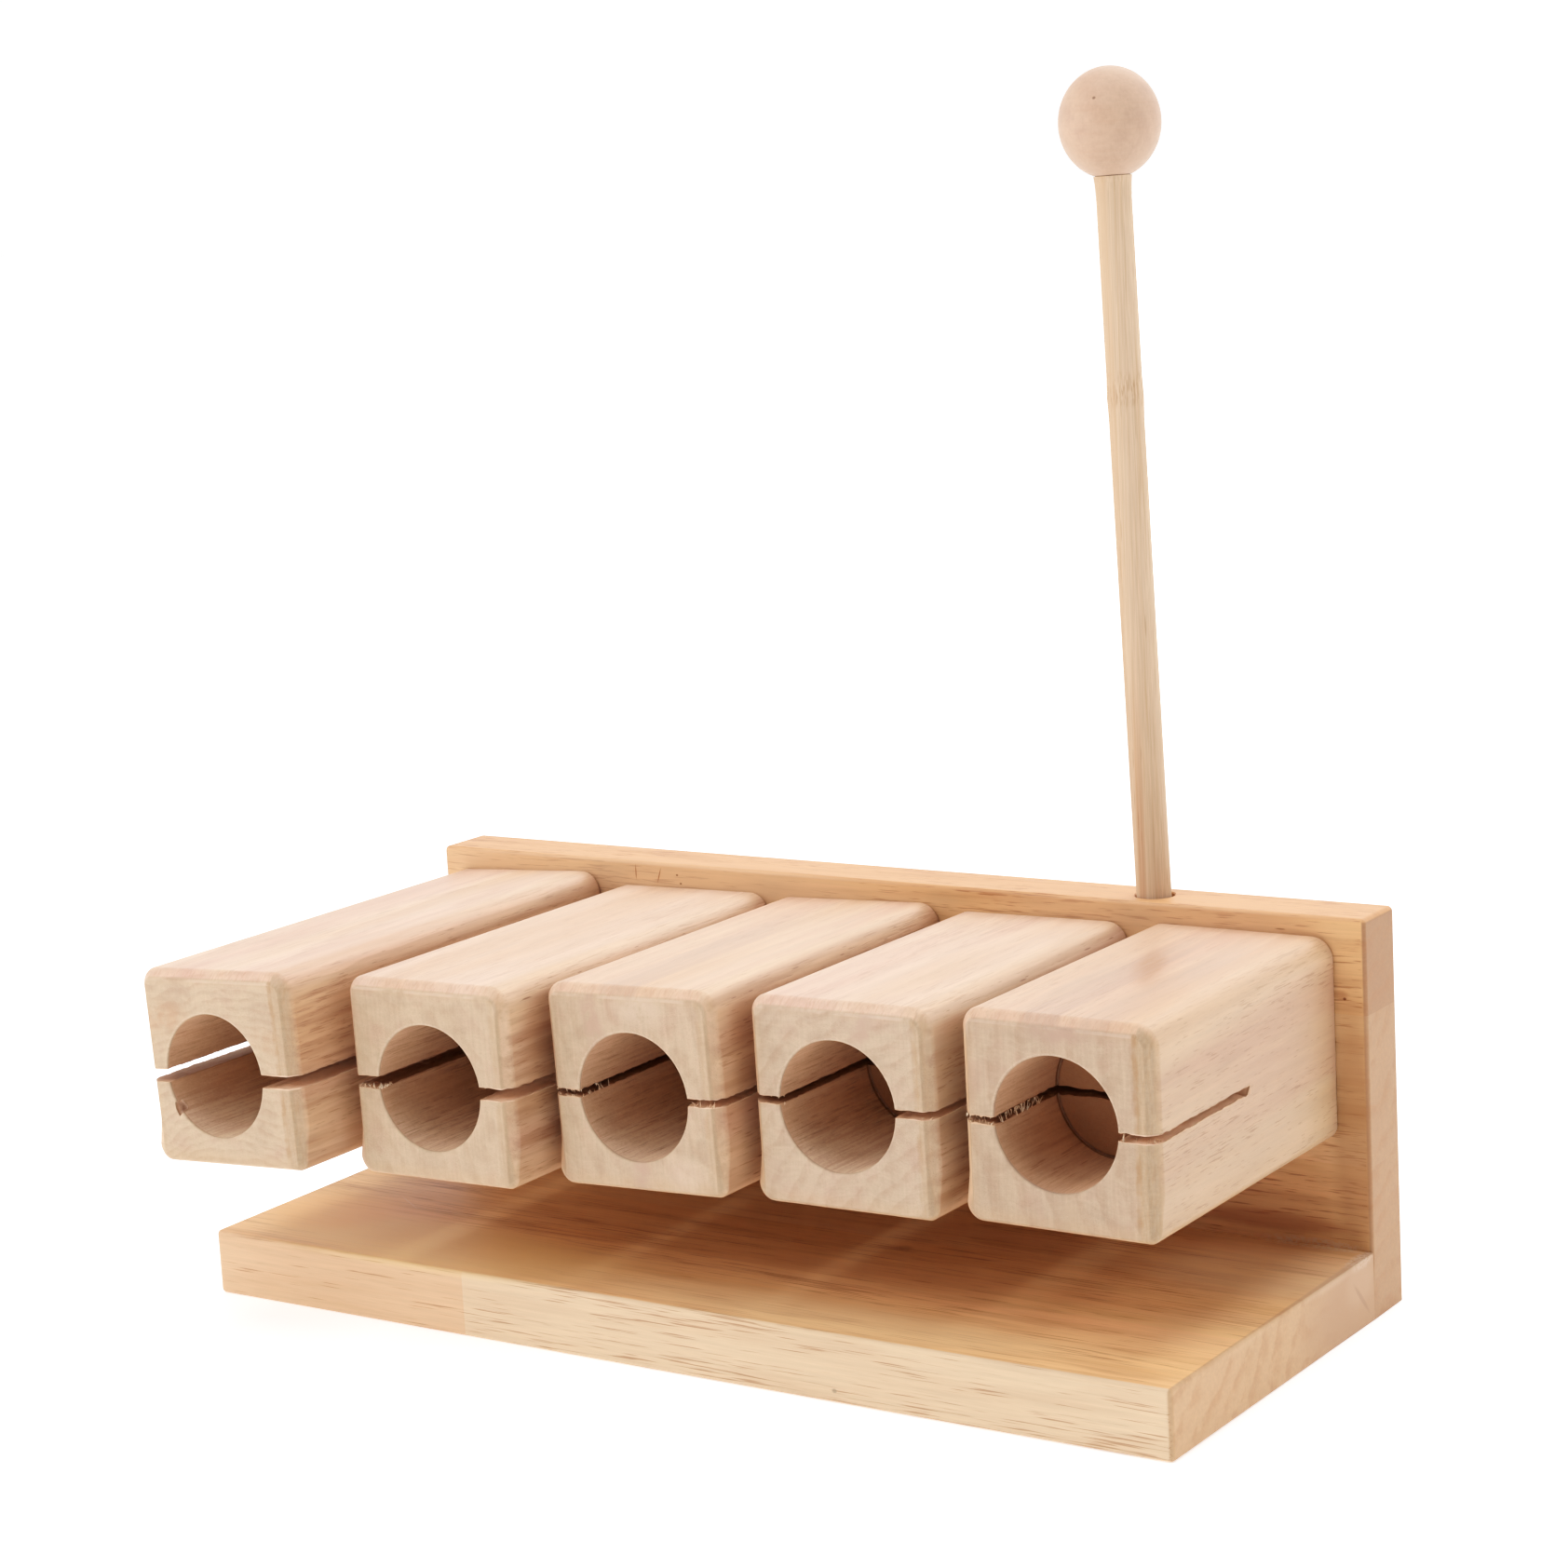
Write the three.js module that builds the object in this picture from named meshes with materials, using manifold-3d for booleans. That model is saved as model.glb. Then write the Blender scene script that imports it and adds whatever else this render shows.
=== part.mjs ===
// A set of five hollow tone blocks on an L-shaped stand, with a mallet standing in its back.
// Millimetres. X runs along the stand, +Y goes to its back and +Z is up. The origin is the middle
// of the stand's footprint, on the surface that it rests on.
import * as THREE from 'three';
import { mergeVertices } from 'three/addons/utils/BufferGeometryUtils.js';
import Module from 'manifold-3d';

const wasm = await Module();
wasm.setup();

// Tone blocks: square bars with rounded long edges, bored from the front and sawn along
// the middle of both sides, past the bottom of the bore
const blockSection = 50;
const blockEdgeRadius = 5.5;
const blockGap = 4.6;
const frontEaseRun = 3;
const frontEaseInset = 2.6;
const rearEase = 1;
const boreRadius = 15.9;
const boreRimEase = 0.8;
const kerfPastBore = 16;

// What differs from block to block, from the left one, which sounds lowest, to the right one, as
// shares of the blocks' section. side and rise say how far a block sits from its even place in the
// row, and boreSide, boreRise and kerfRise how far its bore and saw cut lie from their own middles.
const blockShares = [
  {
    length: 2.6, boreDepth: 1.36, kerf: 0.066, side: -0.004, rise: 0.012,
    boreSide: -0.046, boreRise: -0.038, kerfRise: -0.01,
  },
  {
    length: 2.31, boreDepth: 1.16, kerf: 0.06, side: 0.012, rise: -0.016,
    boreSide: -0.004, boreRise: -0.03, kerfRise: 0.004,
  },
  {
    length: 2.08, boreDepth: 0.96, kerf: 0.036, side: -0.008, rise: 0,
    boreSide: -0.004, boreRise: -0.038, kerfRise: 0,
  },
  {
    length: 1.94, boreDepth: 0.77, kerf: 0.036, side: -0.01, rise: -0.006,
    boreSide: -0.022, boreRise: 0, kerfRise: 0.002,
  },
  {
    length: 1.87, boreDepth: 0.58, kerf: 0.038, side: 0.008, rise: 0.01,
    boreSide: -0.01, boreRise: 0.004, kerfRise: -0.018,
  },
];

// How far each block is turned about its long axis, anticlockwise from the front, in degrees
const blockTurns = [3, 1.1, 2, 0.7, -0.1];

// Stand: a base board that butts against the front of an upright back board
const boardThickness = 17;
const baseDepth = 105;
const rowEndMargin = 6.8;
const rowSideShift = -0.9;
const backOverhang = 0.5;
const backSideShift = 0.3;
const roomUnderBlocks = 27.6;
const backAboveBlocks = 5.4;
const boardEase = 1;
const boardCornerRadius = 1.4;

// Countersunk wood screws, driven from behind
const screwHeadRadius = 4;
const screwHeadRim = 0.4;
const screwShankRadius = 1.9;
const screwLength = 40;
const screwTipLength = 4;
const screwSink = 0.3;
const screwHoleClearance = 0.3;
const recessWidth = 1.1;
const recessSpan = 4.4;
const recessDepth = 1.8;
const baseScrewFromEnd = 36;
const baseScrewCount = 3;

// Mallet: a turned bead on a bamboo stick, which stands loosely in a blind hole
const malletFromEnd = 59.8;
const socketRadius = 5;
const socketDepth = 25;
const stickFootRadius = 4.4;
const stickNeckRadius = 4.25;
const stickFootChamfer = 0.5;
const stickReach = 178.3;
const stickFlare = 0.6;
const stickFlareLength = 4;
const jointHeight = 125;
const jointSwell = 0.2;
const jointLength = 5;
const tenonLength = 18;
const headRadius = 12.5;
const headHalfHeight = 13.5;
const headFlatBelowMiddle = 12.4;
const socketWallGap = 0.32;
const socketFloorGap = 0.4;
const gluedGap = 0.3;

// Cutters run past the faces that they cut by this much
const overrun = 10;

// How finely round shapes are divided
const edgeSteps = 3;
const easeSteps = 3;
const boardSteps = 2;
const boreSteps = 40;
const rimSteps = 3;
const screwSteps = 20;
const stickSteps = 24;
const headSteps = 36;
const headRings = 14;
const weldDistance = 0.00001;

// Sizes and places that follow from the sizes above
const blockCount = blockShares.length;
const blockSizes = blockShares.map((shares) => {
  const sizes = Object.entries(shares).map(([name, share]) => [name, share * blockSection]);
  return Object.fromEntries(sizes);
});
const blockPitch = blockSection + blockGap;
const baseLength = blockCount * blockSection + (blockCount - 1) * blockGap + 2 * rowEndMargin;
const backLength = baseLength + 2 * backOverhang;
const rowHeight = boardThickness + roomUnderBlocks + blockSection / 2;
const backHeight = rowHeight + blockSection / 2 + backAboveBlocks;
const frontFace = -(baseDepth + boardThickness) / 2;
const seatFace = frontFace + baseDepth;
const backFace = seatFace + boardThickness;
const screwHoleRadius = screwShankRadius + screwHoleClearance;
const pilotDepth = screwLength - screwSink - boardThickness + screwHoleClearance;

// The stick leans until it all but touches its hole at the mouth and at the floor
const malletLean = Math.atan((socketRadius - stickFootRadius - socketWallGap) / (socketDepth / 2));

// Finishes
const boardWood = { color: 0xdfb083, roughness: 0.45, metalness: 0, flatShading: true };
const blockWood = { color: 0xe8cdb0, roughness: 0.6, metalness: 0, flatShading: true };
const beadWood = { color: 0xdebda0, roughness: 0.6, metalness: 0 };
const bamboo = { color: 0xdcb98c, roughness: 0.5, metalness: 0 };
const screwSteel = { color: 0xc2b27a, roughness: 0.35, metalness: 1 };

// Solids from geometries, and back

function solidOf(geometry) {
  const bare = geometry.clone();
  bare.deleteAttribute('normal');
  bare.deleteAttribute('uv');
  const welded = mergeVertices(bare, weldDistance);
  const corners = welded.index.array;
  const triangles = [];
  for (let i = 0; i < corners.length; i += 3) {
    const [a, b, c] = corners.slice(i, i + 3);
    if (a !== b && b !== c && c !== a) triangles.push(a, b, c);
  }
  return new wasm.Manifold(new wasm.Mesh({
    numProp: 3,
    vertProperties: new Float32Array(welded.attributes.position.array),
    triVerts: new Uint32Array(triangles),
  }));
}

function geometryOf(solid) {
  const mesh = solid.getMesh();
  const geometry = new THREE.BufferGeometry();
  geometry.setAttribute('position', new THREE.BufferAttribute(new Float32Array(mesh.vertProperties), 3));
  geometry.setIndex(new THREE.BufferAttribute(new Uint32Array(mesh.triVerts), 1));
  geometry.computeVertexNormals();
  return geometry;
}

function namedMesh(name, solid, finish) {
  const mesh = new THREE.Mesh(geometryOf(solid), new THREE.MeshStandardMaterial(finish));
  mesh.name = name;
  return mesh;
}

// A body of revolution about +Y, from a profile of [radius, y] pairs that starts and ends on the axis
function revolved(profile, steps) {
  return new THREE.LatheGeometry(profile.map(([radius, y]) => new THREE.Vector2(radius, y)), steps);
}

// A rectangle centred on the origin, with round corners
function roundedRectangle(width, height, radius) {
  const x = width / 2 - radius;
  const y = height / 2 - radius;
  const outline = new THREE.Shape();
  outline.absarc(x, y, radius, 0, Math.PI / 2, false);
  outline.absarc(-x, y, radius, Math.PI / 2, Math.PI, false);
  outline.absarc(-x, -y, radius, Math.PI, 1.5 * Math.PI, false);
  outline.absarc(x, -y, radius, 1.5 * Math.PI, 2 * Math.PI, false);
  return outline;
}

// Turns what was made along +Z so that it runs along +Y
function alongY(geometry) {
  return geometry.rotateX(-Math.PI / 2);
}

// The pilot hole for a screw's point, bored towards -Y from a face at y = 0
function pilotCutter() {
  const height = pilotDepth + overrun;
  const pilot = new THREE.CylinderGeometry(screwHoleRadius, screwHoleRadius, height, screwSteps);
  return pilot.translate(0, (overrun - pilotDepth) / 2, 0);
}

// Tone blocks, each made with its front at y = 0 and its long axis on +Y

function blockBar(length) {
  const outline = roundedRectangle(blockSection, blockSection, blockEdgeRadius);
  const fromFront = new THREE.ExtrudeGeometry(outline, {
    depth: length + overrun,
    curveSegments: edgeSteps,
    bevelThickness: frontEaseRun,
    bevelSize: frontEaseInset,
    bevelOffset: -frontEaseInset,
    bevelSegments: easeSteps,
  });
  fromFront.translate(0, 0, frontEaseRun);
  const fromRear = new THREE.ExtrudeGeometry(outline, {
    depth: length + overrun,
    curveSegments: edgeSteps,
    bevelThickness: rearEase,
    bevelSize: rearEase,
    bevelOffset: -rearEase,
    bevelSegments: 1,
  });
  fromRear.translate(0, 0, -overrun - rearEase);
  return solidOf(alongY(fromFront)).intersect(solidOf(alongY(fromRear)));
}

function boreCutter(depth) {
  const profile = [[0, -overrun], [boreRadius + boreRimEase, -overrun]];
  for (let i = 0; i <= rimSteps; i += 1) {
    const angle = (i / rimSteps) * (Math.PI / 2);
    profile.push([boreRadius + boreRimEase * (1 - Math.sin(angle)), boreRimEase * (1 - Math.cos(angle))]);
  }
  profile.push([boreRadius, depth], [0, depth]);
  return revolved(profile, boreSteps);
}

function blockSolid(size) {
  const bore = boreCutter(size.boreDepth).translate(size.boreSide, 0, size.boreRise);
  const kerfDepth = size.boreDepth + kerfPastBore;
  const kerf = new THREE.BoxGeometry(blockSection + overrun, kerfDepth + overrun, size.kerf);
  kerf.translate(0, (kerfDepth - overrun) / 2, size.boreRise + size.kerfRise);
  const pilot = pilotCutter().translate(0, size.length, 0);
  return blockBar(size.length)
    .subtract(solidOf(bore))
    .subtract(solidOf(kerf))
    .subtract(solidOf(pilot));
}

const blockPlaces = blockSizes.map((size, i) => ({
  x: rowSideShift + (i - (blockCount - 1) / 2) * blockPitch + size.side,
  z: rowHeight + size.rise,
}));

// Wood screw along Y, with its head's flat face at y = 0 and its point towards -Y

const baseScrewSpacing = (baseLength - 2 * baseScrewFromEnd) / (baseScrewCount - 1);
const baseScrewPlaces = Array.from({ length: baseScrewCount }, (_, i) => ({
  x: baseScrewFromEnd - baseLength / 2 + i * baseScrewSpacing,
  z: boardThickness / 2,
}));

function screwSolid() {
  const coneHeight = screwHeadRadius - screwShankRadius;
  const body = revolved([
    [0, -screwLength],
    [screwShankRadius, screwTipLength - screwLength],
    [screwShankRadius, -screwHeadRim - coneHeight],
    [screwHeadRadius, -screwHeadRim],
    [screwHeadRadius, 0],
    [0, 0],
  ], screwSteps);
  const slot = new THREE.BoxGeometry(recessSpan, recessDepth + overrun, recessWidth);
  slot.translate(0, (overrun - recessDepth) / 2, 0);
  const crossSlot = slot.clone().rotateY(Math.PI / 2);
  return solidOf(body).subtract(solidOf(slot)).subtract(solidOf(crossSlot));
}

// The room for a screw in the back board: a clearance hole and its countersink, from the back face
function screwRoom() {
  const headRoomRadius = screwHeadRadius + screwHoleClearance;
  const coneHeight = headRoomRadius - screwHoleRadius;
  const coneTop = -screwSink - screwHeadRim;
  return revolved([
    [0, -boardThickness - overrun],
    [screwHoleRadius, -boardThickness - overrun],
    [screwHoleRadius, coneTop - coneHeight],
    [headRoomRadius, coneTop],
    [headRoomRadius, overrun],
    [0, overrun],
  ], screwSteps);
}

// Stand boards

// A board whose edges are all eased: width along X, height along Y, from 0 to its thickness along Z
function easedBoard(width, height) {
  const board = new THREE.ExtrudeGeometry(roundedRectangle(width, height, boardCornerRadius), {
    depth: boardThickness - 2 * boardEase,
    curveSegments: boardSteps,
    bevelThickness: boardEase,
    bevelSize: boardEase,
    bevelOffset: -boardEase,
    bevelSegments: boardSteps,
  });
  return board.translate(0, 0, boardEase);
}

function baseBoardSolid() {
  const board = easedBoard(baseLength, baseDepth).translate(0, (frontFace + seatFace) / 2, 0);
  const pilots = baseScrewPlaces.map(({ x, z }) => solidOf(pilotCutter().translate(x, seatFace, z)));
  return pilots.reduce((solid, pilot) => solid.subtract(pilot), solidOf(board));
}

function socketCutter() {
  const socket = new THREE.CylinderGeometry(socketRadius, socketRadius, socketDepth + overrun, stickSteps);
  return socket.rotateX(Math.PI / 2).translate(0, 0, overrun / 2);
}

function backBoardSolid() {
  const board = alongY(easedBoard(backLength, backHeight)).translate(backSideShift, seatFace, backHeight / 2);
  const screwRooms = [...blockPlaces, ...baseScrewPlaces]
    .map(({ x, z }) => solidOf(screwRoom().translate(x, backFace, z)));
  const socket = solidOf(socketCutter().translate(malletPlace.x, malletPlace.y, malletPlace.z));
  return [...screwRooms, socket].reduce((solid, cutter) => solid.subtract(cutter), solidOf(board));
}

// Mallet, made along +Z with z = 0 half way down its socket

const malletPlace = new THREE.Vector3(
  baseLength / 2 - malletFromEnd,
  (seatFace + backFace) / 2,
  backHeight - socketDepth / 2,
);

function stickSolid() {
  const foot = socketFloorGap - socketDepth / 2;
  const boardTop = socketDepth / 2;
  const neck = boardTop + stickReach - gluedGap;
  const radiusAt = (z) => THREE.MathUtils.mapLinear(z, foot, neck, stickFootRadius, stickNeckRadius);
  const joint = boardTop + jointHeight;
  const flareStart = neck - stickFlareLength;
  const outline = revolved([
    [0, foot],
    [stickFootRadius - stickFootChamfer, foot],
    [stickFootRadius, foot + stickFootChamfer],
    [radiusAt(joint - jointLength / 2), joint - jointLength / 2],
    [radiusAt(joint) + jointSwell, joint - jointSwell],
    [radiusAt(joint) + jointSwell, joint + jointSwell],
    [radiusAt(joint + jointLength / 2), joint + jointLength / 2],
    [radiusAt(flareStart), flareStart],
    [stickNeckRadius + stickFlare, neck],
    [stickNeckRadius, neck],
    [stickNeckRadius, neck + gluedGap + tenonLength],
    [0, neck + gluedGap + tenonLength],
  ], stickSteps);
  return solidOf(outline.rotateX(Math.PI / 2));
}

function headSolid() {
  const underside = socketDepth / 2 + stickReach;
  const middle = underside + headFlatBelowMiddle;
  const start = Math.asin(-headFlatBelowMiddle / headHalfHeight);
  const boreWall = stickNeckRadius + gluedGap;
  const boreEnd = underside + tenonLength + gluedGap;
  const profile = [[0, boreEnd], [boreWall, boreEnd], [boreWall, underside]];
  for (let i = 0; i < headRings; i += 1) {
    const angle = THREE.MathUtils.lerp(start, Math.PI / 2, i / headRings);
    profile.push([headRadius * Math.cos(angle), middle + headHalfHeight * Math.sin(angle)]);
  }
  profile.push([0, middle + headHalfHeight]);
  return solidOf(revolved(profile, headSteps).rotateX(Math.PI / 2));
}

// Assembly

const toneBlockSet = new THREE.Group();
toneBlockSet.add(namedMesh('base_board', baseBoardSolid(), boardWood));
toneBlockSet.add(namedMesh('back_board', backBoardSolid(), boardWood));

blockSizes.forEach((size, i) => {
  const { x, z } = blockPlaces[i];
  const block = namedMesh(`block_${i + 1}`, blockSolid(size), blockWood);
  block.position.set(x, seatFace - size.length, z);
  block.rotation.y = -THREE.MathUtils.degToRad(blockTurns[i]);
  toneBlockSet.add(block);
});

function addScrew(name, { x, z }) {
  const screw = namedMesh(name, screwSolid(), screwSteel);
  screw.position.set(x, backFace - screwSink, z);
  toneBlockSet.add(screw);
}

blockPlaces.forEach((place, i) => addScrew(`block_screw_${i + 1}`, place));
baseScrewPlaces.forEach((place, i) => addScrew(`base_screw_${i + 1}`, place));

const mallet = new THREE.Group();
mallet.position.copy(malletPlace);
mallet.rotation.y = -malletLean;
mallet.add(namedMesh('mallet_stick', stickSolid(), bamboo));
mallet.add(namedMesh('mallet_head', headSolid(), beadWood));
toneBlockSet.add(mallet);

export default toneBlockSet;
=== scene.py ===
"""Five hollow tone blocks on an L-shaped stand, with a mallet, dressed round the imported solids.

Metres, +Z up, in the solids' own frame. Sizes in the tables are in millimetres, and turns in degrees.
"""

import math
import random

import bmesh
import bpy
from mathutils import Matrix, Vector, noise


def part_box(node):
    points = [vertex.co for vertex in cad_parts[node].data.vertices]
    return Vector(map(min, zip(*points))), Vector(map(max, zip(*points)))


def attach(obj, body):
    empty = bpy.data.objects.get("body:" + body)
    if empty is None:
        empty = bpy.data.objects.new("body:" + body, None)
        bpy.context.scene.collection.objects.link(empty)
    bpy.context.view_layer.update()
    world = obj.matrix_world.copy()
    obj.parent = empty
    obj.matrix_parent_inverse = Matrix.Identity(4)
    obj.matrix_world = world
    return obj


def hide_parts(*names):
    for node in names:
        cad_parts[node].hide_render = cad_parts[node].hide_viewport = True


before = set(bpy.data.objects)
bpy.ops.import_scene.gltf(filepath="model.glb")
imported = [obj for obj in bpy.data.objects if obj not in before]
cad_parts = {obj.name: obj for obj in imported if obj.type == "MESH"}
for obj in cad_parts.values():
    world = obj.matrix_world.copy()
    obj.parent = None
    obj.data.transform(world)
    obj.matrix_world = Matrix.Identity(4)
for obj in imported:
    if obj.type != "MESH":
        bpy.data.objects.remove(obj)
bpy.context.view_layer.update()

MM = 0.001

# Sizes that the solids have too
SECTION = 50
HALF = SECTION / 2
FRONT_EASE = 2.5
REAR_EASE = 1
BORE_RADIUS = 15.9
KERF_PAST_BORE = 16
THICKNESS = 17
BOARD_EASE = 1
CORNER_RADIUS = 1.4
BASE_HALF_WIDTH = 141
LEFT_END, RIGHT_END = -141.2, 141.8
FRONT_Y = -61
SEAT_Y = 44
BACK_Y = 61
BACK_TOP = 100
PILOT_RADIUS = 2.2
SCREW_SINK = 0.3
SOCKET = Vector((81.2, 52.5, 87.5))
SOCKET_RADIUS = 5
SOCKET_DEPTH = 25
LEAN = math.atan(0.28 / 12.5)

# Sizes that follow the real bars more closely than the solids do. An edge is named by left and top.
LONG_EDGES = {(False, True): 5.5, (True, True): 4.4, (True, False): 4.2, (False, False): 3.2}
WIDEST_LONG_EDGE = 5.5
LOWER_FRONT_EASE = 1
RIM_EASE = 0.5

# The mallet, from half way down its hole
FOOT = -12.1
CANE_RADIUS, TENON_RADIUS = 4.4, 4.25
CANE_NODE = 137.5
CANE_TOP, TENON_TOP = 190.5, 208.8
BEAD_FOOT, BEAD_HOLE_TOP = 190.8, 209.1
BEAD_RADIUS, BEAD_HALF_HEIGHT, BEAD_FLAT = 12.5, 13.5, 12.4

# Tone blocks from the left. Places are counted right and up from the middle of the front.
# turn, bore_depth, bore, kerf, kerf_rise: the solids' own turn, bore and saw cut.
# rough: how far the saw cut's walls stray.
# pith, ring, ring_depth, arcs: the growth rings' middle and width, and how strongly they show along
# the grain and on the front.
# vessels: how many are cut open. saw: how strong the front's upright and level scratches are.
# front, top, side: the tints of these faces; the top's is a painted sheen, the side's painted shade.
# side_low: the share of the side's tint in its lower half.
# lit: how much of that painted shade the side loses near the front, where light reaches it.
# streaks, dashes: how strong they are on it.
# bore_painted_light: how pale the painted light makes the bore's lower wall.
# corner: a worn strip at the front's right edge, by half its width, how far back it runs, and strength.
# stripes: middle, half width, how far back they run, stain and strength.
# front_patches, top_patches: middle, half sizes, turn, stain and strength. The brown top patch on block 5
# is a painted reflection of the mallet's cane.
# torn: how many fibres, where along X and along Y, on which lip of the cut, their length, their lean.
BLOCKS = [
    dict(
        turn=3, bore_depth=68, bore=(-2.3, -1.9), kerf=3.3, kerf_rise=-0.5, rough=0.18,
        pith=(6, -90), ring=2.4, ring_depth=0.36, arcs=0.3, vessels=0.02, saw=(0.6, 1.2),
        front=(1, 1, 1), top=(1.04, 1.07, 1.2), side=(0.91, 0.81, 0.73), side_low=0.2,
        lit=0, streaks=0.3, dashes=0.3, bore_painted_light=0.9, corner=(2.1, 3, 0.7), stripes=[],
        front_patches=[((-17, 12), (10, 6), -12, "brown", 0.5), ((17, 9), (8, 5), 12, "brown", 0.3)],
        top_patches=[], torn=[],
    ),
    dict(
        turn=1.1, bore_depth=58, bore=(-0.2, -1.5), kerf=3, kerf_rise=0.2, rough=0.28,
        pith=(-52, -40), ring=5.2, ring_depth=0.16, arcs=0.2, vessels=0.045, saw=(1.3, 0.8),
        front=(0.98, 0.97, 0.97), top=(1.03, 1.06, 1.22), side=(0.75, 0.66, 0.60), side_low=0.35,
        lit=1, streaks=0.4, dashes=0.7, bore_painted_light=0.6, corner=(1.5, 2.4, 0.2), stripes=[],
        front_patches=[((14, 17), (7, 4), 20, "pink", 0.3), ((-18, -8), (4, 6), 0, "pink", 0.3)],
        top_patches=[],
        torn=[(18, (-23, -15), (0.2, 1.5), "low", (0.6, 1.4), 60),
              (14, (-16.3, -15.6), (0.8, 5), "low", (0.9, 1.7), 60),
              (3, (15.5, 22), (0.4, 1.5), "high", (0.4, 0.7), 50)],
    ),
    dict(
        turn=2, bore_depth=48, bore=(-0.2, -1.9), kerf=1.8, kerf_rise=0, rough=0.38,
        pith=(66, 30), ring=5.5, ring_depth=0.2, arcs=0.24, vessels=0.035, saw=(1.5, 0.8),
        front=(0.97, 0.955, 0.97), top=(1, 1, 1.07), side=(0.78, 0.66, 0.59), side_low=0.3,
        lit=0.6, streaks=0.3, dashes=0.55, bore_painted_light=0.7, corner=(1.6, 2.4, 0.25),
        stripes=[(-3, 4, 90, "pink", 0.4)],
        front_patches=[((3, 20), (10, 6), 8, "light", 0.7), ((14, -19), (7, 6), 0, "light", 0.6),
                       ((-11, 16), (4, 13), -14, "pink", 1), ((1, -20), (4, 7), -4, "pink", 1)],
        top_patches=[],
        torn=[(22, (-23, -16), (0.2, 1.2), "both", (0.5, 1.0), 50),
              (4, (-16.3, -15.8), (8, 12), "low", (1.4, 2.6), 60),
              (10, (-16.3, -15.8), (1, 9), "both", (0.6, 1.0), 50),
              (12, (16.5, 24), (0.2, 1.4), "low", (0.9, 1.9), 65)],
    ),
    dict(
        turn=0.7, bore_depth=38.5, bore=(-1.1, 0), kerf=1.8, kerf_rise=0.1, rough=0.26,
        pith=(62, -70), ring=4.6, ring_depth=0.22, arcs=0.36, vessels=0.03, saw=(1.0, 1.3),
        front=(0.96, 0.97, 1.02), top=(1.03, 1.06, 1.2), side=(0.76, 0.78, 0.80), side_low=0.5,
        lit=0, streaks=0.3, dashes=0.6, bore_painted_light=0.9, corner=(1.5, 2.4, 0.4), stripes=[],
        front_patches=[((7, 19), (3.5, 8), 35, "pink", 0.9), ((-19, -18), (6, 8), 0, "pink", 0.35)],
        top_patches=[],
        torn=[(7, (-23, -16), (0.4, 2), "both", (0.4, 0.8), 50),
              (4, (16, 24), (0.4, 1.5), "low", (0.4, 0.9), 60)],
    ),
    dict(
        turn=-0.1, bore_depth=29, bore=(-0.5, 0.2), kerf=1.9, kerf_rise=-0.9, rough=0.38,
        pith=(88, 14), ring=7, ring_depth=0.2, arcs=0.4, vessels=0.02, saw=(1.4, 1.1),
        front=(0.875, 0.85, 0.88), top=(0.95, 0.92, 0.97), side=(0.785, 0.775, 0.73), side_low=1.0,
        lit=0, streaks=0.04, dashes=0.3, bore_painted_light=0, corner=(1.9, 2.4, 0.85),
        stripes=[(-4, 3.5, 90, "pink", 0.45), (9.5, 2.2, 90, "pink", 0.35)],
        front_patches=[((1, 22), (12, 5), 0, "pink", 1), ((2, -20), (6, 7), 8, "grey", 0.5)],
        # The brown top patch is a painted reflection of the mallet's cane.
        top_patches=[((-2, 50), (5.5, 25), 23, "brown", 0.8), ((-10, 30), (4, 34), 0, "pink", 0.6)],
        torn=[(40, (-16.5, -16.0), (0.8, 21), "both", (1.2, 2.0), 35),
              (26, (-24, -17), (0.2, 1.2), "both", (0.6, 1.2), 45),
              (2, (16.1, 16.9), (0.3, 0.9), "low", (1.9, 2.1), 12),
              (14, (19, 24.4), (0.3, 5), "low", (0.5, 1.0), 60)],
    ),
]

# Screen colours, out of 255, which the materials turn into the shader's own
STAINS = {"grey": (199, 168, 137), "pink": (201, 166, 142), "brown": (196, 146, 112),
          "light": (230, 203, 176)}
DARK = (120, 66, 36)
REDDISH = (178, 108, 68)
GREY = (150, 130, 112)
TORN = (244, 218, 192)


# Meshes

def shown(name, data):
    """A new object in the scene."""
    made = bpy.data.objects.new(name, data)
    bpy.context.scene.collection.objects.link(made)
    return made


def piece_of(name, mesh, material=None):
    """A finished object, at the origin, from a bmesh."""
    data = bpy.data.meshes.new(name)
    mesh.to_mesh(data)
    mesh.free()
    if material:
        data.materials.append(material)
    return shown(name, data)


def settle(piece):
    """Makes what the modifiers show the piece's own mesh."""
    graph = bpy.context.evaluated_depsgraph_get()
    old = piece.data
    piece.data = bpy.data.meshes.new_from_object(
        piece.evaluated_get(graph), preserve_all_data_layers=True, depsgraph=graph)
    piece.modifiers.clear()
    bpy.data.meshes.remove(old)


def carve(piece, cutters):
    """Cuts shapes out of a piece."""
    for cutter in cutters:
        cut = piece.modifiers.new("cut", "BOOLEAN")
        cut.operation = "DIFFERENCE"
        cut.solver = "EXACT"
        cut.object = cutter
        settle(piece)
        bpy.data.objects.remove(cutter)
    mesh = bmesh.new()
    mesh.from_mesh(piece.data)
    bmesh.ops.remove_doubles(mesh, verts=mesh.verts, dist=0.002 * MM)
    bmesh.ops.dissolve_degenerate(mesh, edges=mesh.edges, dist=0.001 * MM)
    mesh.to_mesh(piece.data)
    mesh.free()


def soften(piece, angle=35):
    """Shades a piece smooth, but for edges that turn by more than the angle in degrees, and returns it."""
    piece.data.shade_smooth()
    piece.data.set_sharp_from_angle(angle=math.radians(angle))
    even = piece.modifiers.new("even", "WEIGHTED_NORMAL")
    even.keep_sharp = True
    settle(piece)
    return piece


def bevel(mesh, edges, width, segments):
    """Rounds edges off, by a width in millimetres."""
    bmesh.ops.bevel(mesh, geom=edges, offset=width * MM, offset_type="OFFSET", affect="EDGES",
                    segments=segments, profile=0.5, material=-1, clamp_overlap=True)


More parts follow.
